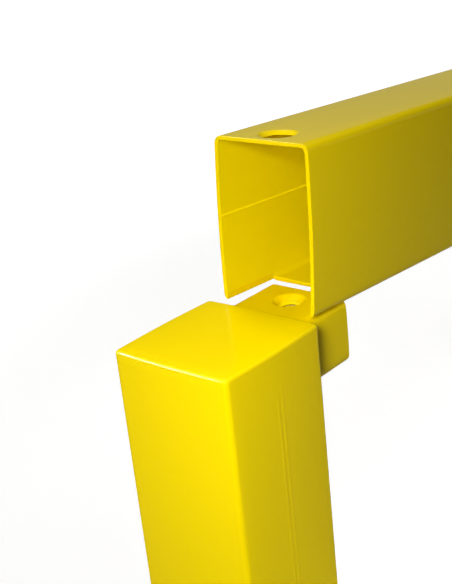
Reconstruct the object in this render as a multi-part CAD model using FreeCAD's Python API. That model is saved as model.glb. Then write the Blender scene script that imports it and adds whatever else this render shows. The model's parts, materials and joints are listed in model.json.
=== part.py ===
"""Bolt-down steel safety railing, in millimetres, +Z up, +X along the railing.

Square posts stand on bolted base plates. Short box stubs are welded to the posts, and hollow
rails with notched ends drop over the stubs and are screwed down from above. The first top rail
is shown lifted off its near stub, still resting on its far one. The origin is the middle of the
first post's footing, at ground level.
"""
import FreeCAD
import Part
import math
import os

# Layout of the railing
BAYS = 2
POST_SPACING = 2000.0      # post centre to post centre
POST_TOP = 1000.0          # ground to the top of the cap, and of a seated top rail
KNEE_RAIL_TOP = 560.0      # ground to the top of the lower rail
LIFT_ANGLE = 3.6           # tilt of the lifted rail, in degrees

# Post: square hollow section, closed by a cap, on a base plate
POST_WIDTH = 100.0
POST_WALL = 4.0
POST_CORNER = 8.0          # outer radius of the upright edges
CAP_THICKNESS = 5.0
CAP_EDGE = 2.0             # bevel of the cap's upper edge
BASE_THICKNESS = 12.0
BASE_CLIP = 10.0           # clipped off each corner of the plate
ANCHOR_HOLE = 18.0         # diameter
ANCHOR_OFFSET = 25.0       # post face to the row of anchor holes
ANCHOR_EDGE = 25.0         # anchor hole to the plate's edge

# Rail: rectangular hollow section with slightly bulging side walls
RAIL_WIDTH = 80.0          # across the flat top
RAIL_HEIGHT = 120.0
RAIL_WALL = 3.0
RAIL_CORNER = 6.0          # outer radius
RAIL_BOW = 1.2             # bulge of each side wall at mid height
RAIL_END_GAP = 9.0         # rail end to post face, seated
SINK_MOUTH = 28.0          # countersink diameter in the top face
SINK_THROAT = 22.0         # countersink diameter at the underside of the top wall

# Stub: box section bracket that fills the rail's end
STUB_HEIGHT = 50.0
STUB_LENGTH = 50.0
STUB_WALL = 4.0
STUB_CORNER = 7.0          # outer radius
STUB_SIDE_PLAY = 2.0       # stub side to rail wall
NOTCH_PLAY = 13.0          # stub end to the rail's cut-back floor, seated
SEAT_GAP = 0.3             # coating between the stub and the rail that lies on it
SCREW_REACH = 29.5         # post face to the screw's axis
FUNNEL_MOUTH = 24.0        # diameter in the stub's top face
FUNNEL_THROAT = 16.0       # diameter at the underside of the stub's top wall

# Nut: hexagon welded under the stub's top wall
NUT_FLATS = 19.0           # across the flats
NUT_HEIGHT = 11.0
NUT_BORE = 10.2            # core of the thread

# Sizes that follow from those above
POST_FACE = POST_WIDTH / 2
ANCHOR_REACH = POST_FACE + ANCHOR_OFFSET
BASE_SIDE = 2 * (ANCHOR_REACH + ANCHOR_EDGE)
RAIL_LENGTH = POST_SPACING - POST_WIDTH - 2 * RAIL_END_GAP
STUB_WIDTH = RAIL_WIDTH - 2 * (RAIL_WALL + STUB_SIDE_PLAY)
NOTCH_LENGTH = STUB_LENGTH - RAIL_END_GAP + NOTCH_PLAY
RAIL_LEVELS = {"top": POST_TOP, "knee": KNEE_RAIL_TOP}

X = FreeCAD.Vector(1, 0, 0)
Y = FreeCAD.Vector(0, 1, 0)
Z = FreeCAD.Vector(0, 0, 1)


def arc(centre_y, centre_z, radius, start, end):
    """Arc in the YZ plane between two angles in radians, measured from +Y towards +Z."""
    def at(angle):
        y = centre_y + radius * math.cos(angle)
        z = centre_z + radius * math.sin(angle)
        return FreeCAD.Vector(0, y, z)
    return Part.Arc(at(start), at((start + end) / 2), at(end)).toShape()


def outline(width, height, corner, bow, inset):
    """Rounded rectangle about the X axis, its sides bulging by bow, drawn inset all round.

    Each side is one long arc that runs tangent into both corner arcs, so every inset copy
    keeps the same centres and the wall between two copies is even.
    """
    corner_y = width / 2 - corner
    corner_z = height / 2 - corner
    reach = (corner_z ** 2 + bow ** 2) / (2 * bow)
    side_y = corner_y + bow - reach
    turn = math.atan2(corner_z, reach - bow)
    side = reach + corner - inset
    round_off = corner - inset
    flat = height / 2 - inset
    quarter = math.pi / 2

    def level(start, end, z):
        return Part.makeLine(FreeCAD.Vector(0, start, z), FreeCAD.Vector(0, end, z))

    edges = [
        level(-corner_y, corner_y, flat),
        arc(corner_y, corner_z, round_off, quarter, turn),
        arc(side_y, 0, side, turn, -turn),
        arc(corner_y, -corner_z, round_off, -turn, -quarter),
        level(corner_y, -corner_y, -flat),
        arc(-corner_y, -corner_z, round_off, -quarter, turn - math.pi),
        arc(-side_y, 0, side, math.pi + turn, math.pi - turn),
        arc(-corner_y, corner_z, round_off, math.pi - turn, quarter),
    ]
    return Part.Face(Part.Wire(edges))


def block(width, depth, height):
    """Upright block about the Z axis, standing on the XY plane."""
    return Part.makeBox(width, depth, height, FreeCAD.Vector(-width / 2, -depth / 2, 0))


def upright_edges(shape):
    return [edge for edge in shape.Edges if abs(edge.tangentAt(0).z) > 0.5]


def rounded_block(width, depth, height, corner):
    """The same block with rounded upright edges."""
    plain = block(width, depth, height)
    return plain.makeFillet(corner, upright_edges(plain))


def box_tube(width, depth, length, wall, corner):
    """Upright square or rectangular hollow section, open at both ends."""
    inside = block(width - 2 * wall, depth - 2 * wall, length)
    return rounded_block(width, depth, length, corner).cut(inside)


def cone(mouth, throat, depth, centre):
    """Countersink whose mouth lies at centre and which narrows downwards."""
    return Part.makeCone(mouth / 2, throat / 2, depth, centre, -Z)


def post_tube():
    height = POST_TOP - CAP_THICKNESS - BASE_THICKNESS
    tube = box_tube(POST_WIDTH, POST_WIDTH, height, POST_WALL, POST_CORNER)
    return tube.translated(Z * BASE_THICKNESS)


def post_cap():
    cap = rounded_block(POST_WIDTH, POST_WIDTH, CAP_THICKNESS, POST_CORNER)
    rim = [edge for edge in cap.Edges if edge.BoundBox.ZMin > CAP_THICKNESS / 2]
    return cap.makeChamfer(CAP_EDGE, rim).translated(Z * (POST_TOP - CAP_THICKNESS))


def post_base():
    plate = block(BASE_SIDE, BASE_SIDE, BASE_THICKNESS)
    plate = plate.makeChamfer(BASE_CLIP, upright_edges(plate))
    for along in (-ANCHOR_REACH, ANCHOR_REACH):
        for across in (-ANCHOR_REACH, ANCHOR_REACH):
            centre = FreeCAD.Vector(along, across, 0)
            plate = plate.cut(Part.makeCylinder(ANCHOR_HOLE / 2, BASE_THICKNESS, centre))
    return plate


def stub():
    """Bracket for a rail whose top is at height 0, pointing along +X from a post's face."""
    tube = box_tube(STUB_HEIGHT, STUB_WIDTH, STUB_LENGTH, STUB_WALL, STUB_CORNER)
    tube.rotate(FreeCAD.Vector(), Y, 90)
    top = -RAIL_WALL - SEAT_GAP
    tube.translate(FreeCAD.Vector(POST_FACE, 0, top - STUB_HEIGHT / 2))
    mouth = FreeCAD.Vector(POST_FACE + SCREW_REACH, 0, top)
    return tube.cut(cone(FUNNEL_MOUTH, FUNNEL_THROAT, STUB_WALL, mouth))


def nut():
    """Welded nut under the stub's top wall, on the funnel's axis."""
    top = -RAIL_WALL - SEAT_GAP - STUB_WALL
    corner = NUT_FLATS / math.sqrt(3)
    turns = [math.radians(60 * step) for step in range(7)]
    ring = [FreeCAD.Vector(corner * math.cos(turn), corner * math.sin(turn), 0) for turn in turns]
    hexagon = Part.Face(Part.makePolygon(ring)).extrude(-Z * NUT_HEIGHT)
    drilled = hexagon.cut(Part.makeCylinder(NUT_BORE / 2, NUT_HEIGHT, FreeCAD.Vector(), -Z))
    return drilled.translated(FreeCAD.Vector(POST_FACE + SCREW_REACH, 0, top))


def rail():
    """Rail between a post at X = 0 and the next one, seated, with its top at height 0."""
    outside = outline(RAIL_WIDTH, RAIL_HEIGHT, RAIL_CORNER, RAIL_BOW, 0)
    inside = outline(RAIL_WIDTH, RAIL_HEIGHT, RAIL_CORNER, RAIL_BOW, RAIL_WALL)
    body = outside.cut(inside).extrude(X * RAIL_LENGTH)
    body.translate(FreeCAD.Vector(POST_FACE + RAIL_END_GAP, 0, -RAIL_HEIGHT / 2))
    near_end = POST_FACE + RAIL_END_GAP
    far_end = near_end + RAIL_LENGTH
    clear_width = RAIL_WIDTH - 2 * RAIL_WALL
    for start in (near_end, far_end - NOTCH_LENGTH):
        corner = FreeCAD.Vector(start, -clear_width / 2, -RAIL_HEIGHT)
        body = body.cut(Part.makeBox(NOTCH_LENGTH, clear_width, RAIL_CORNER, corner))
    for along in (POST_FACE + SCREW_REACH, POST_SPACING - POST_FACE - SCREW_REACH):
        mouth = FreeCAD.Vector(along, 0, 0)
        body = body.cut(cone(SINK_MOUTH, SINK_THROAT, RAIL_WALL, mouth))
    return body


def lifted(seated):
    """The seated rail turned up about its far end, which stays on the far stub."""
    far_end = POST_SPACING - POST_FACE - RAIL_END_GAP
    turned = seated.copy()
    turned.rotate(FreeCAD.Vector(far_end, 0, -RAIL_WALL), Y, LIFT_ANGLE)
    return turned


def turned_round(shape):
    """The same piece on the far post of its bay, facing back along -X."""
    copy = shape.copy()
    copy.rotate(FreeCAD.Vector(), Z, 180)
    return copy.translated(X * POST_SPACING)


def railing():
    """Every piece of the railing, as a dictionary of name and shape."""
    pieces = {}
    for number in range(1, BAYS + 2):
        place = X * POST_SPACING * (number - 1)
        pieces[f"post_{number}_tube"] = post_tube().translated(place)
        pieces[f"post_{number}_cap"] = post_cap().translated(place)
        pieces[f"post_{number}_base"] = post_base().translated(place)
    for number in range(1, BAYS + 1):
        for level, height in RAIL_LEVELS.items():
            place = FreeCAD.Vector(POST_SPACING * (number - 1), 0, height)
            name = f"bay_{number}_{level}"
            is_lifted = number == 1 and level == "top"
            bar = lifted(rail()) if is_lifted else rail()
            pieces[f"{name}_rail"] = bar.translated(place)
            for piece, shape in (("stub", stub()), ("nut", nut())):
                pieces[f"{name}_near_{piece}"] = shape.translated(place)
                pieces[f"{name}_far_{piece}"] = turned_round(shape).translated(place)
    return pieces


os.makedirs("parts", exist_ok=True)
for node, solid in railing().items():
    solid.exportStep(f"parts/{node}.step")
    print(f"{node}: {solid.ShapeType}, valid {solid.isValid()}, {solid.Volume / 1000:.1f} cm3")
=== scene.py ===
"""Looks of the bolt-down safety railing, in metres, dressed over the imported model.

Each steel piece is a surface worked out at the model's own size and place: posts with rounded
edges, notched box rails, stubs with funnel holes, weld beads, screws and floor anchors.
"""
import json
import math

import bmesh
import bpy
import numpy as np
from mathutils import Matrix, Vector

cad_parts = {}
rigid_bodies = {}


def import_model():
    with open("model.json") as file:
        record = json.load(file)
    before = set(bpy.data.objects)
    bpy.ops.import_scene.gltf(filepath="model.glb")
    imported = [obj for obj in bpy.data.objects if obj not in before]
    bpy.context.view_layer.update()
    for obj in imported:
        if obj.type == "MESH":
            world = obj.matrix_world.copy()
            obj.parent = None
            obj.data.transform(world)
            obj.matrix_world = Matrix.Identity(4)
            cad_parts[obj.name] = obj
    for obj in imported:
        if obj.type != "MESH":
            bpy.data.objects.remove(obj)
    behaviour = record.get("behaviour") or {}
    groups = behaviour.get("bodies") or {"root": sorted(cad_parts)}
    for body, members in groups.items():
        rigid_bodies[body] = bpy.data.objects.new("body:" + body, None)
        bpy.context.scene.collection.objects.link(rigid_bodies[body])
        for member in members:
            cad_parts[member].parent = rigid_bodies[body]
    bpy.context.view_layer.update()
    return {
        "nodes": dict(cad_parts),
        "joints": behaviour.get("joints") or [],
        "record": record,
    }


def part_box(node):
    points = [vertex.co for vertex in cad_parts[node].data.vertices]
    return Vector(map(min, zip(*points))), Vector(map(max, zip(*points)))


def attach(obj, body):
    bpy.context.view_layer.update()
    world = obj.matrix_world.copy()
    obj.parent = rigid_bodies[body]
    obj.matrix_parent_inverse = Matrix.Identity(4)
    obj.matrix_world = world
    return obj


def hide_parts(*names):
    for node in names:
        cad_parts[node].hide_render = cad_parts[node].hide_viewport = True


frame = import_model()

MM = 0.001

# Places and sizes read from the frame, with the rail, stub and nut of one seated bay as the model
MODEL_BAY = 2
tube_low, tube_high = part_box("post_1_tube")
base_low, base_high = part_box("post_1_base")
rail_low, rail_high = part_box(f"bay_{MODEL_BAY}_top_rail")
stub_low, stub_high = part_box(f"bay_{MODEL_BAY}_top_near_stub")
nut_low, nut_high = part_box(f"bay_{MODEL_BAY}_top_near_nut")
POST_WIDTH = tube_high.x - tube_low.x
POST_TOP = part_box("post_1_cap")[1].z
POST_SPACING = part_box("post_2_tube")[0].x - tube_low.x
BASE_TOP = base_high.z
BASE_SIDE = base_high.x - base_low.x
RAIL_LENGTH = rail_high.x - rail_low.x
RAIL_HEIGHT = rail_high.z - rail_low.z
STUB_LENGTH = stub_high.x - stub_low.x
STUB_WIDTH = stub_high.y - stub_low.y
STUB_HEIGHT = stub_high.z - stub_low.z
NUT_HEIGHT = nut_high.z - nut_low.z
NUT_FLATS = nut_high.y - nut_low.y
NUT_AXIS = (nut_low.x + nut_high.x) / 2
STUB_HOLE = NUT_AXIS - stub_low.x
RAIL_HOLE = NUT_AXIS - rail_low.x

# Bodies of the frame
LIFT = frame["joints"][0]
LOOSE_RAIL = LIFT["child"]
POSTS = LIFT["parent"]

# Sizes of the sections and their edges
POST_CORNER = 4 * MM
POST_BOW = 1.2 * MM             # bulge of each side
CAP_EDGE = 2.5 * MM
BASE_CLIP = 10 * MM
PLATE_EDGE = 1.2 * MM
RAIL_BOW = 1.2 * MM
RAIL_WIDTH = rail_high.y - rail_low.y - 2 * RAIL_BOW
RAIL_WALL = 3 * MM
RAIL_CORNER = 6 * MM
NOTCH_LENGTH = 54 * MM
STUB_WALL = 4 * MM
STUB_CORNER = 7 * MM
STUB_BOW = 0.2 * MM
CUT_EDGE = 0.9 * MM             # rounding of sawn and stamped edges

# Radii of the holes, and half the side of the square window that each is drawn in
RAIL_WINDOW = 18 * MM
SINK_MOUTH = 14 * MM
SINK_THROAT = 11 * MM
STUB_WINDOW = 15 * MM
FUNNEL_MOUTH = 12 * MM
FUNNEL_THROAT = 8 * MM
HOLE_LIP = 2 * MM               # rounding of the mouth's edge

# Threads and nuts
THREAD_DEPTH = 0.54             # share of the pitch
NUT_END = 0.95                  # flat end as a share of the flats
NUT_MOUTH = FUNNEL_THROAT
NUT_MOUTH_DEPTH = 1.6 * MM

# Countersunk screw, its round faces by their radii, and depths from the face of its head
SCREW_THREAD = 6 * MM
SCREW_PITCH = 1.75 * MM
SCREW_LENGTH = 30 * MM
SCREW_TIP = 1 * MM              # bevel of the tip
SCREW_SHANK_TOP = 7.6 * MM
SCREW_HEAD = 13.4 * MM
HEAD_CONE = 7.4 * MM
HEAD_RIM = 0.8 * MM
HEAD_BEVEL = 0.3 * MM
SCREW_SOCKET = 8 * MM           # across the flats
SOCKET_BEVEL = 0.4 * MM
SOCKET_DEPTH = 5 * MM
SOCKET_POINT = 6 * MM
SCREW_SUNK = 0.2 * MM           # head below the top of its rail

# Floor anchor, its round faces by their radii
ANCHOR_REACH = 75 * MM          # middle of the post to the row of anchors
ANCHOR_THREAD = 8 * MM
ANCHOR_PITCH = 2 * MM
ANCHOR_FLATS = 24 * MM
ANCHOR_NUT = 13 * MM
ANCHOR_WASHER = 15 * MM
WASHER_HEIGHT = 3 * MM
WASHER_BEVEL = 0.4 * MM
ANCHOR_STANDS = 10 * MM         # stud above its nut
STUD_STEP = 1 * MM              # thread to core, and bevel of the tip
STUD_HIDDEN = 4 * MM            # thread inside the nut
STUD_THREAD_END = 1.2 * MM      # end of the thread to the tip

# Welds and seams
STUB_WELD = 2 * MM
FOOT_WELD = 5 * MM
WELD_RIPPLE = 3 * MM
WELD_SWELL = 0.1                # ripple as a share of the leg
WELD_SINK = 0.5 * MM
SEAM_DROP = 57.5 * MM           # top of a rail to the seam inside it
INNER_SEAM = 0.8 * MM
INNER_SEAM_HEIGHT = 0.9 * MM
SEAM_RIDGE = 1.1 * MM
SEAM_HEIGHT = 0.2 * MM
SEAM_APART = 4.5 * MM
SEAM_FADE = 30 * MM
SEAM_STOP = 18 * MM
RIDGE_SINK = 0.3 * MM
RIDGE_CROWN = 0.7               # power of the sine, where less is fuller
RIDGE_SWELL = (0, 0.1, 0.7, 1, 1)  # share of full size, from an end to the middle

# Points and rings on the surfaces
HOLE_STEP = 7.5                 # degrees between the rays of a hole
WINDOW_CORNER = 45              # degrees from the middle of a window's side to its corner
RING_DEGREES = np.arange(0, 360, 5)
ARC_POINTS = 9                  # on a corner or a side of a box section
FAN_POINTS = 6                  # on its outer lower corner, up to the cut
UNDER_POINTS = 5                # on the rest of that corner, and on half the bottom
LIP_POINTS = 7
POST_SIDE_POINTS = 7            # on half a side
POST_CORNER_POINTS = 11
ROLL_POINTS = 8
LID_RINGS = (0.8, 0.4, 0)       # shares of the rim's outline
SPAN_STATIONS = 9               # between the notches of a rail
THREAD_RINGS = 8                # to a pitch
RIDGE_POINTS = 24
RIPPLE_POINTS = 5
BEAD_POINTS = 7
MERGE_WITHIN = 0.002 * MM
SHARP_ABOVE = math.radians(35)
ROUND_ABOVE = math.radians(40)
ROUND_STEPS = 3

# Finishes: widths of the patterns, and levels of the noise where they change
PEEL_WIDTH = 2.2 * MM
PEEL_HEIGHT = 0.5 * MM
PEEL_STRENGTH = 0.04
FILM_WIDTH = 160 * MM
COAT_IOR = 1.17
CLOUD_WIDTH = 9 * MM
ZINC_SMOOTH = 0.38
ZINC_ROUGH = 0.52
DUST_WIDTH = 1.5 * MM
DUST_BEGINS = 0.2
DUST_COVERS = 0.32
NUT_ROUGHNESS = 0.38
TINT_LOW = 0.35
TINT_HIGH = 0.65
GLOSS_LOW = 0.3
GLOSS_HIGH = 0.7

# Floor: its glow rises with the distance from the middle of the railing
FLOOR_REACH = 40.0
FLOOR_MIDDLE = (POST_SPACING, 0, 0)
FLOOR_NEAR = 1.9
FLOOR_FAR = 3.2
FLOOR_NEAR_GLOW = 0.72
FLOOR_FAR_GLOW = 0.98
FLOOR_SHEEN = 0.08              # share of the glow that reflections see

# Backdrop: its levels, and heights as sines of the angle above the horizon
AMBIENT = 0.06                  # level that lights matt surfaces
PALE = 0.6                      # level in reflections, up to a height
PALE_TO = 0.2
DIM = 0.05                      # level between the pale heights
DIM_FROM = 0.3
DIM_TO = 0.48
CEILING = 0.7                   # level overhead
CEILING_FROM = 0.7
FLAG = (0.73, 0.66, 0.16)       # direction of a dark card
FLAG_REACH = math.radians(30)
FLAGGED = 0.28                  # highest level behind the card

# Lamps
AIM = (0.06, 0, POST_TOP)       # stub of the first post
ALONG_RAILS = (1, 0, 0)
ALONG_CAP_EDGE = (0.433, 0.9, -0.07)

# Camera, fitted to a photograph of 452 by 584 pixels
CAMERA_PLACE = (-0.49989, -0.46882, 1.30011)
CAMERA_AZIMUTH = 42.36
CAMERA_ELEVATION = 21.43
CAMERA_ROLL = 6.33
FOCAL_PIXELS = 1128.72
PHOTO_HEIGHT = 584
SENSOR = 36
CLIP_START = 0.05


# Grids and loops

def grid(points, around=True):
    """Points of a rows by columns grid and its cells; around joins each row's end to its start."""
    rows, columns = points.shape[:2]
    row = np.arange(rows - 1)[:, None] * columns
    here = np.arange(columns if around else columns - 1)[None, :]
    there = (here + 1) % columns
    cells = np.stack([row + here, row + there, row + columns + there, row + columns + here], axis=-1)
    return points.reshape(-1, 3), cells.reshape(-1, 4)


def circle_points(centre, radius, degrees):
    """Points at the given angles on a circle about a centre, in the plane of a section."""
    angle = np.radians(degrees)
    return np.stack([centre[0] + radius * np.cos(angle), centre[1] + radius * np.sin(angle)], axis=-1)


def side_arc(half_flat, bow):
    """Radius and end angle of a shallow arc that rises by bow over a side of twice half_flat."""
    reach = (half_flat ** 2 + bow ** 2) / (2 * bow)
    return reach, np.degrees(np.arctan2(half_flat, reach - bow))


def box_section(width, height, corner, bow, wall, window):
    """Outer and inner outline of a box section as matching loops of (across, up) points.

    Half a loop runs from the middle of the top over a corner arc, down the side on one long arc
    tangent to both corners, round the lower corner and to the middle of the bottom; the other
    half mirrors it. The outer lower corner is split where the inner wall, carried straight down,
    would cut it; up to that cut it fans out from the end of the inner side. Also gives the number
    of the point at the cut, with each run starting on the last point of the run before.
    """
    flat_y = width / 2 - corner
    flat_z = height / 2 - corner
    reach, turn = side_arc(flat_z, bow)
    cut = -np.degrees(np.arccos((corner - wall) / corner))
    rays = np.radians(np.arange(0, WINDOW_CORNER + 1, HOLE_STEP))
    top = np.append(window * np.tan(rays), flat_y)
    bottom = np.linspace(flat_y, 0, UNDER_POINTS)

    def loop(inset, under_angles):
        level = height / 2 - inset
        over_angles = np.linspace(90, turn, ARC_POINTS)
        side_angles = np.linspace(turn, -turn, ARC_POINTS)
        runs = [
            np.stack([top, np.full_like(top, level)], axis=-1),
            circle_points((flat_y, flat_z), corner - inset, over_angles)[1:],
            circle_points((flat_y + bow - reach, 0), reach + corner - inset, side_angles)[1:],
            circle_points((flat_y, -flat_z), corner - inset, under_angles)[1:],
            np.stack([bottom, np.full_like(bottom, -level)], axis=-1)[1:],
        ]
        right = np.concatenate(runs)
        left = right[-2:0:-1] * [-1, 1]
        return np.concatenate([right, left])

    outer_under = np.append(np.linspace(-turn, cut, FAN_POINTS), np.linspace(cut, -90, UNDER_POINTS)[1:])
    inner_under = np.append(np.full(FAN_POINTS, -turn), np.linspace(-turn, -90, UNDER_POINTS)[1:])
    cut_point = len(top) + 2 * ARC_POINTS + FAN_POINTS - 4
    return loop(0, outer_under), loop(wall, inner_under), cut_point


def box_cells(stations, around):
    """Middle of each cell along a row of stations, and the number of its point on the loop."""
    return (stations[1:] + stations[:-1])[:, None] / 2, np.arange(around)[None, :]


def window_cells(stations, around, holes, window):
    """Cells in the top of a box section that lie within the square window of a hole."""
    middle, point = box_cells(stations, around)
    rays = WINDOW_CORNER / HOLE_STEP
    on_top = (point < rays) | (point >= around - rays)
    nearest = np.abs(middle - np.array(holes)).min(axis=1, keepdims=True)
    return on_top & (nearest < window)


def box_skin(outer, inner, stations, made, solid):
    """Skin of a box section over a row of stations: the outside with its cut edges, and the lining.

    Cell (j, k) lies between two stations and two points of the loop. Cells that are made get an
    outer and an inner face. Wherever a solid cell borders one that isn't, a strip joins the outer
    loop to the inner one, so ends and notches show the wall's thickness.
    """
    count, around = len(stations), len(outer)
    along = np.broadcast_to(stations[:, None, None], (count, around, 1))
    loops = [np.concatenate([along, np.broadcast_to(loop, (count, around, 2))], axis=-1)
             for loop in (outer, inner)]
    points = np.concatenate([loop.reshape(-1, 3) for loop in loops])
    number = np.arange(count * around).reshape(count, around)
    after = np.roll(number, -1, axis=1)
    inside = count * around
    faces = np.stack([number[:-1], after[:-1], after[1:], number[1:]], axis=-1)[made]
    fenced = np.pad(solid, ((1, 1), (0, 0)))
    across = fenced[:-1] ^ fenced[1:]
    lengthwise = solid ^ np.roll(solid, 1, axis=1)
    ends = np.stack([number, after, after + inside, number + inside], axis=-1)[across]
    lips = np.stack([number[:-1], number[1:], number[1:] + inside, number[:-1] + inside], axis=-1)
    return [(points, np.concatenate([faces, ends, lips[lengthwise]]))], [(points, faces + inside)]


def hole_lines(centre, window):
    """Stations that meet the rays of a hole on the border of its square window."""
    rays = np.radians(np.arange(-WINDOW_CORNER, WINDOW_CORNER + 1, HOLE_STEP))
    return centre + window * np.tan(rays)


def hole_wall(centre, window, mouth, throat, wall):
    """Wall of a cone-shaped hole from a top face at 0, between square windows there and underneath.

    Along each ray the border of the square slides in to a circle, an arc turns from level to the
    slope of the cone, the cone runs down to the throat, and the underside runs out to the square.
    """
    angle = np.radians(np.arange(0, 360, HOLE_STEP))
    ray = np.stack([np.cos(angle), np.sin(angle)], axis=-1)
    square = window * ray / np.abs(ray).max(axis=-1, keepdims=True)
    slope = math.atan2(wall, mouth - throat)
    turn = np.linspace(0, slope, LIP_POINTS)
    radius = np.append(mouth + HOLE_LIP * (math.tan(slope / 2) - np.sin(turn)), throat)
    drop = np.append(HOLE_LIP * (1 - np.cos(turn)), wall)
    rings = radius[:, None, None] * ray
    flats = [square, (square + rings[0]) / 2]
    spread = np.concatenate([flats, rings, [(square + rings[-1]) / 2, square]])
    height = -np.concatenate([[0, 0], drop, [wall, wall]])
    up = np.broadcast_to(height[:, None, None], spread.shape[:2] + (1,))
    return grid(np.concatenate([spread + [centre, 0], up], axis=-1))


# Surfaces of revolution and threads

def turned(rings):
    """Skin of rings about the Z axis, each joined to the next; a ring of radius 0 is a pole.

    Each ring is a radius and a height, either a number or one value for each angle.
    """
    angle = np.radians(RING_DEGREES)
    rows = np.array([np.broadcast_arrays(*ring, angle)[:2] for ring in rings])
    radius, height = rows[:, 0], rows[:, 1]
    return grid(np.stack([radius * np.cos(angle), radius * np.sin(angle), height], axis=-1))


def hexagon(flats):
    """Distance from the middle to the edge of a hexagon, one value for each angle of a ring.

    It is half the width across the flats over the cosine of the angle from the nearest flat.
    """
    angle = np.radians(RING_DEGREES)
    return flats / 2 / np.cos(np.mod(angle, math.pi / 3) - math.pi / 6)


def thread_rings(outer, pitch, low, high):
    """Rings of a screw thread: the radius falls and rises once a pitch along a helix."""
    depth = THREAD_DEPTH * pitch
    heights = np.arange(low, high, pitch / THREAD_RINGS)
    wave = np.abs(2 * np.mod(heights[:, None] / pitch - RING_DEGREES / 360, 1) - 1)
    return [(outer - depth * row, height) for row, height in zip(wave, heights)]


def hexagon_rings(flats, low, high):
    """Rings of a hexagon nut's outside: its corners are cut by a cone of 30 degrees at both ends."""
    edge = hexagon(flats)
    flank = NUT_END * flats / 2
    fall = np.maximum(edge - flank, 0) * math.tan(math.pi / 6)
    return [(np.minimum(edge, flank), low), (edge, low + fall), (edge, high - fall),
            (np.minimum(edge, flank), high)]


# Blocks, ridges and beads

def post_outline(inset):
    """Rounded square with four shallow bulging sides, drawn inset all round, as complex numbers.

    A quarter runs from the middle of one side along its arc, round a corner arc and along the
    next side's arc to its middle; the other quarters are it turned by right angles.
    """
    flat = POST_WIDTH / 2 - POST_BOW - POST_CORNER
    reach, turn = side_arc(flat, POST_BOW)
    side = reach + POST_CORNER - inset
    first = circle_points((flat + POST_BOW - reach, 0), side, np.linspace(0, turn, POST_SIDE_POINTS))
    corner_angles = np.linspace(turn, 90 - turn, POST_CORNER_POINTS)
    corner = circle_points((flat, flat), POST_CORNER - inset, corner_angles)
    second = first[:0:-1, ::-1]
    quarter = np.concatenate([first, corner[1:], second[1:]])
    quarter = quarter[:, 0] + 1j * quarter[:, 1]
    return np.concatenate([quarter * 1j ** turns for turns in range(4)])


def plate_outline(inset):
    """Square with clipped corners, drawn inset all round, as complex numbers.

    One corner has two points, and the other corners are it turned by right angles.
    """
    half = BASE_SIDE / 2 - inset
    clip = BASE_CLIP - inset * (2 - math.sqrt(2))
    corner = np.array([half + 1j * (half - clip), half - clip + 1j * half])
    return np.concatenate([corner * 1j ** turns for turns in range(4)])


def upright_skin(outline, edge, low, high):
    """Closed block: an outline stands up from a low height, rolls over its upper edge and closes flat."""
    roll = np.radians(np.linspace(0, 90, ROLL_POINTS))
    rims = [outline(edge * (1 - math.cos(angle))) for angle in roll]
    lid = [rims[-1] * share for share in LID_RINGS]
    rows = np.array([rims[0] * 0, rims[0], rims[0]] + rims + lid)
    wall_heights = [low, low, (low + high) / 2]
    heights = np.concatenate([wall_heights, high - edge * (1 - np.sin(roll)), [high] * len(lid)])
    up = np.broadcast_to(heights[:, None], rows.shape)
    return [grid(np.stack([rows.real, rows.imag, up], axis=-1))]


def ridge(length, half_width, height, fade):
    """Low closed ridge along X, growing from a point at both ends.

    Its section is a full-crowned half oval, a power of the sine over the cosine of one turn, on a
    flat that is sunk into the wall.
    """
    turn = np.linspace(0, 2 * math.pi, RIDGE_POINTS, endpoint=False)
    across = half_width * np.cos(turn)
    hump = np.maximum(np.sin(turn), 0) ** RIDGE_CROWN * height
    along = np.array([0, 0, fade / 2, fade, length / 2, length - fade, length - fade / 2, length, length])
    swell = np.array(RIDGE_SWELL + RIDGE_SWELL[-2::-1])[:, None]
    sunk = np.where(np.sin(turn) < 0, -RIDGE_SINK, 0)
    rows = np.stack(np.broadcast_arrays(along[:, None], swell * across, swell * hump + sunk), axis=-1)
    rows[[0, -1]] = rows[[0, -1]].mean(axis=1, keepdims=True)
    return grid(rows)


def weld_bead(loop, leg):
    """Rippled bead round a loop of (across, up) points, in the corner with the face behind it.

    The section is a quarter circle that swells and sinks once a ripple along the loop, closed by
    a flat back sunk into both pieces.
    """
    closed = np.append(loop, loop[:1], axis=0)
    steps = np.linalg.norm(np.diff(closed, axis=0), axis=1)
    distance = np.append(0, np.cumsum(steps))
    ripples = round(distance[-1] / WELD_RIPPLE)
    even = np.linspace(0, distance[-1], ripples * RIPPLE_POINTS, endpoint=False)
    path = np.stack([np.interp(even, distance, closed[:, axis]) for axis in (0, 1)], axis=-1)
    forward = np.roll(path, -1, axis=0) - np.roll(path, 1, axis=0)
    out = np.stack([-forward[:, 1], forward[:, 0]], axis=-1)
    out /= np.linalg.norm(out, axis=1, keepdims=True)
    out *= np.sign((out * path).sum(axis=1, keepdims=True))
    ripple = np.abs(np.cos(math.pi * even * ripples / distance[-1]))
    size = (leg * (1 - WELD_SWELL + WELD_SWELL * ripple))[:, None]
    sunk = np.full_like(size, -WELD_SINK)
    turn = np.radians(np.linspace(0, 90, BEAD_POINTS))
    outward = np.concatenate([size * np.sin(turn), size, sunk, sunk], axis=1)
    onward = np.concatenate([size * np.cos(turn), sunk, sunk, size], axis=1)
    places = path[:, None, :] + outward[..., None] * out[:, None, :]
    rows = np.concatenate([onward[..., None], places], axis=-1)
    return grid(np.append(rows, rows[:1], axis=0))


# Steel pieces, each at its own origin

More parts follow.
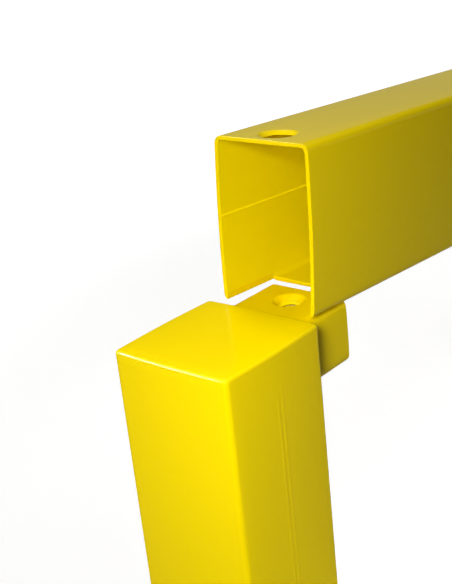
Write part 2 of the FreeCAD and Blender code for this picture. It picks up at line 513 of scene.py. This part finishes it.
def rail_skin():
    """Box rail from 0 along +X with its top at 0: notched underneath and drilled at both ends."""
    outer, inner, cut = box_section(RAIL_WIDTH, RAIL_HEIGHT, RAIL_CORNER, RAIL_BOW, RAIL_WALL, RAIL_WINDOW)
    around = len(outer)
    lower = np.array([0, -RAIL_HEIGHT / 2])
    holes = (RAIL_HOLE, RAIL_LENGTH - RAIL_HOLE)
    lines = [hole_lines(hole, RAIL_WINDOW) for hole in holes]
    span = np.linspace(NOTCH_LENGTH, RAIL_LENGTH - NOTCH_LENGTH, SPAN_STATIONS)
    stations = np.unique(np.concatenate([*lines, span, [0, RAIL_LENGTH]]))
    middle, point = box_cells(stations, around)
    at_end = np.minimum(middle, RAIL_LENGTH - middle) < NOTCH_LENGTH
    solid = ~(at_end & (point >= cut) & (point < around - cut))
    made = solid & ~window_cells(stations, around, holes, RAIL_WINDOW)
    walls = [hole_wall(hole, RAIL_WINDOW, SINK_MOUTH, SINK_THROAT, RAIL_WALL) for hole in holes]
    skin, lining = box_skin(outer + lower, inner + lower, stations, made, solid)
    return skin + walls, lining


def rail_seam():
    """Ridge of the weld inside a rail, on its wall towards +Y, from one end to the other."""
    seam = ridge(RAIL_LENGTH - 2 * CUT_EDGE, INNER_SEAM, INNER_SEAM_HEIGHT, CUT_EDGE)
    wall = RAIL_WIDTH / 2 - RAIL_WALL + RAIL_BOW
    return moved([seam], lambda points: np.stack(
        [points[:, 0] + CUT_EDGE, wall - points[:, 2], points[:, 1] - SEAM_DROP], axis=-1))


def stub_skin():
    """Box stub from a post's face at 0 along +X, with its top at 0 and a funnel through the top.

    Also gives the outline of its section, about the section's own middle.
    """
    flat_width = STUB_WIDTH - 2 * STUB_BOW
    outer, inner, _ = box_section(flat_width, STUB_HEIGHT, STUB_CORNER, STUB_BOW, STUB_WALL, STUB_WINDOW)
    around = len(outer)
    lower = np.array([0, -STUB_HEIGHT / 2])
    stations = np.concatenate([[0], hole_lines(STUB_HOLE, STUB_WINDOW), [STUB_LENGTH]])
    solid = np.ones((len(stations) - 1, around), bool)
    made = solid & ~window_cells(stations, around, [STUB_HOLE], STUB_WINDOW)
    wall = hole_wall(STUB_HOLE, STUB_WINDOW, FUNNEL_MOUTH, FUNNEL_THROAT, STUB_WALL)
    skin, lining = box_skin(outer + lower, inner + lower, stations, made, solid)
    return skin + [wall], lining, outer


def post_seam():
    """The two edges of the weld up a post's face towards -Y, from foot to cap."""
    edge = ridge(POST_TOP - BASE_TOP - 2 * SEAM_STOP, SEAM_RIDGE, SEAM_HEIGHT, SEAM_FADE)
    face = -POST_WIDTH / 2
    foot = BASE_TOP + SEAM_STOP
    seam = []
    for side in (-SEAM_APART / 2, SEAM_APART / 2):
        seam += moved([edge], lambda points: np.stack(
            [points[:, 1] + side, face - points[:, 2], points[:, 0] + foot], axis=-1))
    return seam


def foot_weld():
    """Bead round a post's foot, on its base plate."""
    foot = post_outline(0)
    bead = weld_bead(np.stack([foot.real, foot.imag], axis=-1), FOOT_WELD)
    return moved([bead], lambda points: points[:, [1, 2, 0]] + [0, 0, BASE_TOP])


def weld_nut():
    """Hexagon nut about the Z axis with its top at 0, and the cone of its mouth, which takes coat.

    Below the cone a thread runs down the bore.
    """
    bore = thread_rings(SCREW_THREAD, SCREW_PITCH, -NUT_HEIGHT, -NUT_MOUTH_DEPTH)[::-1]
    throat = (SCREW_THREAD, -NUT_MOUTH_DEPTH)
    rings = [throat] + bore + [(SCREW_THREAD, -NUT_HEIGHT)]
    rings += hexagon_rings(NUT_FLATS, -NUT_HEIGHT, 0) + [(NUT_MOUTH, 0)]
    return [turned(rings)], [turned([(NUT_MOUTH, 0), throat])]


def countersunk_screw():
    """Socket screw about the Z axis, its flat head at 0: the socket is a hexagon, the shank threaded."""
    shank = thread_rings(SCREW_THREAD, SCREW_PITCH, -SCREW_LENGTH + SCREW_TIP, -SCREW_SHANK_TOP)
    socket = hexagon(SCREW_SOCKET)
    rings = [(0, -SCREW_LENGTH), (SCREW_THREAD - SCREW_TIP, -SCREW_LENGTH)] + shank
    rings += [(SCREW_THREAD, -HEAD_CONE), (SCREW_HEAD, -HEAD_RIM), (SCREW_HEAD, -HEAD_BEVEL)]
    rings += [(SCREW_HEAD - HEAD_BEVEL, 0), (socket + SOCKET_BEVEL, 0), (socket, -SOCKET_BEVEL)]
    rings += [(socket, -SOCKET_DEPTH), (0, -SOCKET_POINT)]
    return [turned(rings)]


def floor_anchor():
    """Anchor stud with washer and hexagon nut about the Z axis, standing on a plate at 0."""
    low = WASHER_HEIGHT
    high = low + ANCHOR_NUT
    tip = high + ANCHOR_STANDS
    core = ANCHOR_THREAD - STUD_STEP
    washer = [(ANCHOR_THREAD, 0), (ANCHOR_WASHER, 0), (ANCHOR_WASHER, low - WASHER_BEVEL)]
    washer += [(ANCHOR_WASHER - WASHER_BEVEL, low), (ANCHOR_THREAD, low), (ANCHOR_THREAD, 0)]
    nut = [(ANCHOR_THREAD, low)] + hexagon_rings(ANCHOR_FLATS, low, high)
    nut += [(ANCHOR_THREAD, high), (ANCHOR_THREAD, low)]
    stud = [(0, 0), (core, 0)]
    stud += thread_rings(ANCHOR_THREAD, ANCHOR_PITCH, high - STUD_HIDDEN, tip - STUD_THREAD_END)
    stud += [(core, tip - STUD_STEP), (core - STUD_STEP, tip), (0, tip)]
    return [turned(washer), turned(nut), turned(stud)]


# Moving patches and joining them into pieces

def moved(patches, change):
    """The same patches with their points changed by a function."""
    return [(change(points), cells) for points, cells in patches]


def shifted(patches, place):
    """The same patches moved by a vector."""
    return moved(patches, lambda points: points + place)


def lifted(points):
    """Points turned about the joint of the loose rail, from seated to the shown lift."""
    pivot = np.array(LIFT["pos_m"])
    angle = math.radians(-LIFT["range_deg"][0])
    x, y, z = (points - pivot).T
    turned_x = x * math.cos(angle) + z * math.sin(angle)
    turned_z = z * math.cos(angle) - x * math.sin(angle)
    return np.stack([turned_x, y, turned_z], axis=-1) + pivot


def on_post(node):
    """Function that brings points from a stub's own place to where that node's stub stands.

    In its own place a stub starts at a post's face at 0, points along +X, and has its top at 0.
    """
    low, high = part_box(node)
    faces_back = "_far_" in node
    root = high.x if faces_back else low.x
    side = -1 if faces_back else 1
    return lambda points: points * [side, side, 1] + [root, 0, high.z]


def make_piece(name, patches, material, body, stands_for=(), rounding=0, lining=()):
    """Joins patches into one object, with doubles merged, faces outward and smooth shading.

    The patches of the lining take the thin coat that reaches the inside of a hollow section, tinted lighter
    than the outside coat as painted light.
    """
    skin = [*patches, *lining]
    starts = np.cumsum([0] + [len(points) for points, _ in skin])
    points = np.concatenate([points for points, _ in skin])
    cells = np.concatenate([cells + start for (_, cells), start in zip(skin, starts)])
    lined = sum(len(cells) for _, cells in lining)
    mesh = bpy.data.meshes.new(name)
    mesh.from_pydata(points.tolist(), [], cells.tolist())
    mesh.materials.append(material)
    if lining:
        # the lining's coat is tinted lighter than the outside: painted light on the inside of the section
        mesh.materials.append(lining_coat_painted_lighter)
        mesh.polygons.foreach_set("material_index", np.repeat([0, 1], [len(cells) - lined, lined]))
    shell = bmesh.new()
    shell.from_mesh(mesh)
    bmesh.ops.remove_doubles(shell, verts=shell.verts, dist=MERGE_WITHIN)
    loose = [vert for vert in shell.verts if not vert.link_faces]
    bmesh.ops.delete(shell, geom=loose, context="VERTS")
    bmesh.ops.recalc_face_normals(shell, faces=shell.faces)
    shell.to_mesh(mesh)
    shell.free()
    mesh.shade_smooth()
    mesh.set_sharp_from_angle(angle=SHARP_ABOVE)
    piece = bpy.data.objects.new(name, mesh)
    bpy.context.scene.collection.objects.link(piece)
    if rounding:
        edge = piece.modifiers.new("rounded_edges", "BEVEL")
        edge.width = rounding
        edge.segments = ROUND_STEPS
        edge.limit_method = "ANGLE"
        edge.angle_limit = ROUND_ABOVE
        edge.harden_normals = True
    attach(piece, body)
    if stands_for:
        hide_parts(*stands_for)


# Materials

def colour(code):
    """Linear colour of an sRGB hex code, by the sRGB curve."""
    shares = np.array([int(code[place:place + 2], 16) for place in (1, 3, 5)]) / 255
    linear = np.where(shares <= 0.04045, shares / 12.92, ((shares + 0.055) / 1.055) ** 2.4)
    return (*linear.tolist(), 1.0)


def add_node(tree, kind, inputs=(), **settings):
    """Adds one node with its settings, and its inputs as values or as the sockets that feed them."""
    node = tree.nodes.new("ShaderNode" + kind)
    for name, value in settings.items():
        setattr(node, name, value)
    for name, value in dict(inputs).items():
        if isinstance(value, bpy.types.NodeSocket):
            tree.links.new(value, node.inputs[name])
        else:
            node.inputs[name].default_value = value
    return node


def new_material(name):
    """A material and its empty node tree."""
    material = bpy.data.materials.new(name)
    material.use_nodes = True
    material.node_tree.nodes.clear()
    return material, material.node_tree


def powder_coated_steel(name, thick, thin, smooth, rough):
    """Polyester powder coat, sprayed dry and baked on steel.

    It gives the eye a deep, even yellow under a clear gloss, with a faint orange peel where the
    melting powder flowed out, and a slow change from a thick film to a thin one.
    """
    material, tree = new_material(name)
    place = add_node(tree, "TexCoord").outputs["Object"]
    peel = add_node(tree, "TexNoise", {"Vector": place, "Scale": 1 / PEEL_WIDTH, "Detail": 1.0})
    film = add_node(tree, "TexNoise", {"Vector": place, "Scale": 1 / FILM_WIDTH, "Detail": 1.0})
    tint = add_node(tree, "ValToRGB", {"Fac": film.outputs["Fac"]})
    tint.color_ramp.elements[0].position = TINT_LOW
    tint.color_ramp.elements[0].color = colour(thick)
    tint.color_ramp.elements[1].position = TINT_HIGH
    tint.color_ramp.elements[1].color = colour(thin)
    gloss = add_node(tree, "MapRange", {
        "Value": film.outputs["Fac"], "From Min": GLOSS_LOW, "From Max": GLOSS_HIGH,
        "To Min": smooth, "To Max": rough})
    bump = add_node(tree, "Bump", {
        "Height": peel.outputs["Fac"], "Strength": PEEL_STRENGTH, "Distance": PEEL_HEIGHT})
    shader = add_node(tree, "BsdfPrincipled", {
        "Base Color": tint.outputs["Color"], "Roughness": gloss.outputs["Result"], "IOR": COAT_IOR,
        "Normal": bump.outputs["Normal"]})
    add_node(tree, "OutputMaterial", {"Surface": shader.outputs["BSDF"]})
    return material


def zinc_plated_steel():
    """Zinc-plated steel with a clear passivation: bright grey, cloudy, with a faint warm cast."""
    material, tree = new_material("zinc_plated_steel")
    place = add_node(tree, "TexCoord").outputs["Object"]
    cloud = add_node(tree, "TexNoise", {"Vector": place, "Scale": 1 / CLOUD_WIDTH, "Detail": 4.0})
    tint = add_node(tree, "ValToRGB", {"Fac": cloud.outputs["Fac"]})
    tint.color_ramp.elements[0].position = TINT_LOW
    tint.color_ramp.elements[0].color = colour("#A6A59E")
    tint.color_ramp.elements[1].position = TINT_HIGH
    tint.color_ramp.elements[1].color = colour("#C9CBCB")
    gloss = add_node(tree, "MapRange", {
        "Value": cloud.outputs["Fac"], "To Min": ZINC_SMOOTH, "To Max": ZINC_ROUGH})
    shader = add_node(tree, "BsdfPrincipled", {
        "Base Color": tint.outputs["Color"], "Metallic": 1.0, "Roughness": gloss.outputs["Result"]})
    add_node(tree, "OutputMaterial", {"Surface": shader.outputs["BSDF"]})
    return material


def oversprayed_nut_steel():
    """Plain machined steel, dulled by oil and dusted with yellow powder on what faces upwards.

    The colour mix takes its share at socket 0, its colours at 6 and 7, and gives its result at 2.
    """
    material, tree = new_material("oversprayed_nut_steel")
    place = add_node(tree, "TexCoord").outputs["Object"]
    dust = add_node(tree, "TexNoise", {"Vector": place, "Scale": 1 / DUST_WIDTH, "Detail": 3.0})
    facing = add_node(tree, "SeparateXYZ", {"Vector": add_node(tree, "NewGeometry").outputs["Normal"]})
    upward = add_node(tree, "Math", {0: facing.outputs["Z"], 1: dust.outputs["Fac"]}, operation="MULTIPLY")
    covered = add_node(tree, "MapRange", {
        "Value": upward.outputs["Value"], "From Min": DUST_BEGINS, "From Max": DUST_COVERS})
    tint = add_node(tree, "Mix", {
        0: covered.outputs["Result"], 6: colour("#5C574B"), 7: colour("#D8BC00")}, data_type="RGBA")
    bare = add_node(tree, "Math", {0: 1.0, 1: covered.outputs["Result"]}, operation="SUBTRACT")
    shader = add_node(tree, "BsdfPrincipled", {
        "Base Color": tint.outputs[2], "Metallic": bare.outputs["Value"], "Roughness": NUT_ROUGHNESS})
    add_node(tree, "OutputMaterial", {"Surface": shader.outputs["BSDF"]})
    return material


def studio_paper():
    """Matt studio paper that glows: rays that reach the eye see it white, less the object's shadow.

    Reflections see its glow much dimmer, because at full strength it paled the yellow sides.
    """
    material, tree = new_material("studio_floor")
    rays = add_node(tree, "LightPath").outputs
    sheen = add_node(tree, "Math", {0: rays["Is Glossy Ray"], 1: FLOOR_SHEEN}, operation="MULTIPLY")
    seen = add_node(tree, "Math", {0: rays["Is Camera Ray"], 1: sheen.outputs[0]}, operation="MAXIMUM")
    seen = add_node(tree, "Math", {0: seen.outputs[0], 1: rays["Is Transmission Ray"]}, operation="MAXIMUM")
    place = add_node(tree, "TexCoord").outputs["Object"]
    away = add_node(tree, "VectorMath", {0: place, 1: FLOOR_MIDDLE}, operation="DISTANCE")
    level = add_node(tree, "MapRange", {
        "Value": away.outputs["Value"], "From Min": FLOOR_NEAR, "From Max": FLOOR_FAR,
        "To Min": FLOOR_NEAR_GLOW, "To Max": FLOOR_FAR_GLOW}, interpolation_type="SMOOTHSTEP")
    glow = add_node(tree, "Math", {0: seen.outputs[0], 1: level.outputs[0]}, operation="MULTIPLY")
    paper = add_node(tree, "BsdfDiffuse", {"Color": colour("#B4B4B4")})
    white = add_node(tree, "Emission", {"Strength": glow.outputs[0]})
    both = add_node(tree, "AddShader", {0: paper.outputs[0], 1: white.outputs[0]})
    add_node(tree, "OutputMaterial", {"Surface": both.outputs[0]})
    return material


# Dressing the frame

def nodes_ending(suffix):
    """Names of the frame's nodes with that ending, in order."""
    return sorted(name for name in frame["nodes"] if name.endswith(suffix))


def dress_post(node, place):
    """Post and cap as one coated skin, with base plate, foot weld, seam and four floor anchors."""
    post = node.removesuffix("_tube")
    skin = shifted(upright_skin(post_outline, CAP_EDGE, BASE_TOP, POST_TOP), place)
    make_piece(f"{post}_coated", skin, coat, POSTS, [node, f"{post}_cap"])
    plate = shifted(upright_skin(plate_outline, PLATE_EDGE, 0, BASE_TOP), place)
    make_piece(f"{post}_plate", plate, coat, POSTS, [f"{post}_base"])
    make_piece(f"{post}_foot_weld", shifted(foot_weld(), place), coat, POSTS)
    make_piece(f"{post}_seam", shifted(post_seam(), place), coat, POSTS)
    anchors = []
    for along in (-ANCHOR_REACH, ANCHOR_REACH):
        for across in (-ANCHOR_REACH, ANCHOR_REACH):
            anchors += shifted(floor_anchor(), place + [along, across, BASE_TOP])
    make_piece(f"{post}_anchors", anchors, zinc, POSTS)


def dress_rail(node):
    """Rail with the seam inside it and, where it is screwed down, a screw at each end."""
    bay = int(node.split("_")[1])
    top = POST_TOP if "_top_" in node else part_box(node)[1].z
    place = np.array([rail_low.x + (bay - MODEL_BAY) * POST_SPACING, 0, top])
    loose = node in frame["record"]["behaviour"]["bodies"][LOOSE_RAIL]
    body = LOOSE_RAIL if loose else POSTS
    sheets = [shifted(patches, place) for patches in (*rail_skin(), rail_seam())]
    if loose:
        sheets = [moved(patches, lifted) for patches in sheets]
    skin, lining, seam = sheets
    make_piece(f"{node}_coated", skin, coat, body, [node], CUT_EDGE, lining)
    make_piece(f"{node}_seam", seam, lining_coat_painted_lighter, body)
    if loose:
        return
    for end, hole in (("near", RAIL_HOLE), ("far", RAIL_LENGTH - RAIL_HOLE)):
        screw = shifted(countersunk_screw(), place + [hole, 0, -SCREW_SUNK])
        make_piece(f"{node}_{end}_screw", screw, zinc, body)


def dress_stub(node):
    """Stub with the weld round its root and the nut under its funnel."""
    put = on_post(node)
    skin, lining, outline = stub_skin()
    make_piece(f"{node}_coated", moved(skin, put), coat, POSTS, [node], CUT_EDGE,
               moved(lining, put))
    bead = shifted([weld_bead(outline, STUB_WELD)], [0, 0, -STUB_HEIGHT / 2])
    make_piece(f"{node}_weld", moved(bead, put), coat, POSTS)
    under_funnel = [STUB_HOLE, 0, -STUB_WALL]
    nut, mouth = [moved(shifted(patches, under_funnel), put) for patches in weld_nut()]
    nut_node = node.replace("_stub", "_nut")
    make_piece(f"{nut_node}_threaded", nut, nut_steel, POSTS, [nut_node], lining=mouth)


# Studio

def lay_floor():
    """Level square sheet of paper under the railing."""
    corners = np.array([[[-1, -1, 0], [1, -1, 0]], [[-1, 1, 0], [1, 1, 0]]]) * FLOOR_REACH
    points, cells = grid(corners, around=False)
    mesh = bpy.data.meshes.new("studio_floor")
    mesh.from_pydata(points.tolist(), [], cells.tolist())
    mesh.materials.append(studio_paper())
    floor = bpy.data.objects.new("studio_floor", mesh)
    bpy.context.scene.collection.objects.link(floor)


def softbox(name, place, aim, width, height, power, along=(0, 1, 0), fan=180):
    """Rectangular lamp at a place, facing the aim, with its width along a direction, but not in view.

    A grid narrows the fan of its light, in degrees.
    """
    lamp = bpy.data.lights.new(name, "AREA")
    lamp.shape = "RECTANGLE"
    lamp.size = width
    lamp.size_y = height
    lamp.energy = power
    lamp.spread = math.radians(fan)
    stand = bpy.data.objects.new(name, lamp)
    back = (Vector(place) - Vector(aim)).normalized()
    up = back.cross(Vector(along)).normalized()
    turn = Matrix((up.cross(back), up, back)).transposed().to_4x4()
    stand.matrix_world = Matrix.Translation(place) @ turn
    stand.visible_camera = False
    bpy.context.scene.collection.objects.link(stand)
    return stand


def studio_lamps():
    """A lamp by the camera, two soft lamps above, a glint for the cap's edge, and unreflected fills."""
    key = softbox("camera_lamp", place=(-0.48, -0.312, 1.32), aim=(0, -0.02, 0.93),
                  width=0.15, height=0.15, power=2.27, fan=120)
    key.data.color = colour("#FFFBF6")[:3]
    softbox("left_key", place=(-2.75, 3.15, 3.55), aim=AIM, width=0.9, height=0.9, power=20)
    glint = softbox("edge_light", place=(-0.295, 0.29, 1.232), aim=(-0.05, 0, POST_TOP),
                    width=0.26, height=0.03, power=4.8, along=ALONG_CAP_EDGE, fan=120)
    glint.visible_diffuse = False
    softbox("overhead", place=(1.1, 1.8, 5.5), aim=AIM, width=1.5, height=1.5, power=100)
    fills = [
        softbox("front_fill", place=(2.6, -1.7, 1.4), aim=(2.6, 0, 0.6),
                width=3.5, height=1.2, power=8, along=ALONG_RAILS, fan=26),
        softbox("low_front_fill", place=(0.35, -1.7, 0.46), aim=(0.35, 0, 0.42),
                width=1.3, height=0.5, power=1.5, along=ALONG_RAILS, fan=26),
        softbox("back_fill", place=(2.5, 2.4, 2.0), aim=(2.5, 0, 0.65),
                width=3.6, height=0.9, power=13, along=ALONG_RAILS, fan=36),
        softbox("end_fill", place=(6.6, -0.9, 1.8), aim=(4.0, 0, 0.55),
                width=0.9, height=0.9, power=6, fan=60),
        softbox("post_fill", place=(-1.2, 2.2, 1.0), aim=(0, 0, 0.35),
                width=0.5, height=0.5, power=1.2, fan=30),
        softbox("rail_fill", place=(0.57, -0.9, 1.06), aim=(0.57, 0, 1.06),
                width=0.36, height=0.3, power=0.05, along=ALONG_RAILS, fan=16),
    ]
    for fill in fills:
        fill.visible_glossy = False


def studio_world():
    """Even grey light all round, which the eye sees as a white backdrop.

    Reflections see the backdrop pale up to a height, then dim, then a pale ceiling. A flag, a dark
    card, hides part of it from the tops of the rails.
    """
    world = bpy.data.worlds.new("studio_world")
    world.use_nodes = True
    tree = world.node_tree
    tree.nodes.clear()
    rays = add_node(tree, "LightPath").outputs
    mirrored = add_node(tree, "Math", {0: rays["Is Glossy Ray"], 1: rays["Is Transmission Ray"]},
                        operation="MAXIMUM")
    toward = add_node(tree, "TexCoord").outputs["Generated"]
    height = add_node(tree, "SeparateXYZ", {"Vector": toward}).outputs["Z"]
    beside = add_node(tree, "VectorMath", {0: toward, 1: FLAG}, operation="DOT_PRODUCT").outputs["Value"]
    ceiling = add_node(tree, "MapRange", {
        "Value": height, "From Min": DIM_TO, "From Max": CEILING_FROM,
        "To Min": DIM, "To Max": CEILING}, interpolation_type="SMOOTHSTEP")
    pale = add_node(tree, "MapRange", {
        "Value": height, "From Min": PALE_TO, "From Max": DIM_FROM,
        "To Min": PALE, "To Max": ceiling.outputs[0]}, interpolation_type="SMOOTHSTEP")
    dimmed = add_node(tree, "Math", {0: pale.outputs[0], 1: FLAGGED}, operation="MINIMUM")
    flagged = add_node(tree, "MapRange", {
        "Value": beside, "From Min": math.cos(FLAG_REACH), "From Max": math.cos(FLAG_REACH / 2),
        "To Min": pale.outputs[0], "To Max": dimmed.outputs[0]}, interpolation_type="SMOOTHSTEP")
    unseen = add_node(tree, "MapRange", {
        "Value": mirrored.outputs[0], "To Min": AMBIENT, "To Max": flagged.outputs[0]})
    level = add_node(tree, "Math", {0: unseen.outputs[0], 1: rays["Is Camera Ray"]}, operation="MAXIMUM")
    glow = add_node(tree, "Background", {"Color": (1, 1, 1, 1), "Strength": level.outputs[0]})
    add_node(tree, "OutputWorld", {"Surface": glow.outputs[0]})
    bpy.context.scene.world = world


def photo_camera():
    """Camera looking along an azimuth from +X towards +Y and down by an elevation, then rolled.

    The sensor's width lies along the picture's longer side, its height.
    """
    azimuth, elevation, roll = np.radians([CAMERA_AZIMUTH, CAMERA_ELEVATION, CAMERA_ROLL])
    forward = np.array([math.cos(elevation) * math.cos(azimuth), math.cos(elevation) * math.sin(azimuth),
                        -math.sin(elevation)])
    level = np.cross(forward, [0, 0, 1])
    level /= np.linalg.norm(level)
    down = np.cross(forward, level)
    right = math.cos(roll) * level + math.sin(roll) * down
    up = math.sin(roll) * level - math.cos(roll) * down
    data = bpy.data.cameras.new("photo_camera")
    data.sensor_width = SENSOR
    data.lens = FOCAL_PIXELS * SENSOR / PHOTO_HEIGHT
    data.clip_start = CLIP_START
    camera = bpy.data.objects.new("photo_camera", data)
    turn = np.eye(4)
    turn[:3] = np.stack([right, up, -forward, CAMERA_PLACE], axis=-1)
    camera.matrix_world = Matrix(turn.tolist())
    bpy.context.scene.collection.objects.link(camera)
    bpy.context.scene.camera = camera


# The railing in its studio

coat = powder_coated_steel("powder_coated_steel", "#F4D800", "#F5DA00", smooth=0.14, rough=0.17)
# The lining is a thinner, rougher coat, and its tints are lighter than the outside's: painted light that
# brightens the inside of the hollow sections.
lining_coat_painted_lighter = powder_coated_steel("thin_coat_painted_lighter", "#F5E100", "#F7E400", smooth=0.4, rough=0.46)
zinc = zinc_plated_steel()
nut_steel = oversprayed_nut_steel()
for number, post_node in enumerate(nodes_ending("_tube")):
    dress_post(post_node, np.array([number * POST_SPACING, 0, 0]))
for rail_node in nodes_ending("_rail"):
    dress_rail(rail_node)
for stub_node in nodes_ending("_stub"):
    dress_stub(stub_node)
lay_floor()
studio_world()
studio_lamps()
photo_camera()
bpy.context.scene.view_settings.view_transform = "Standard"
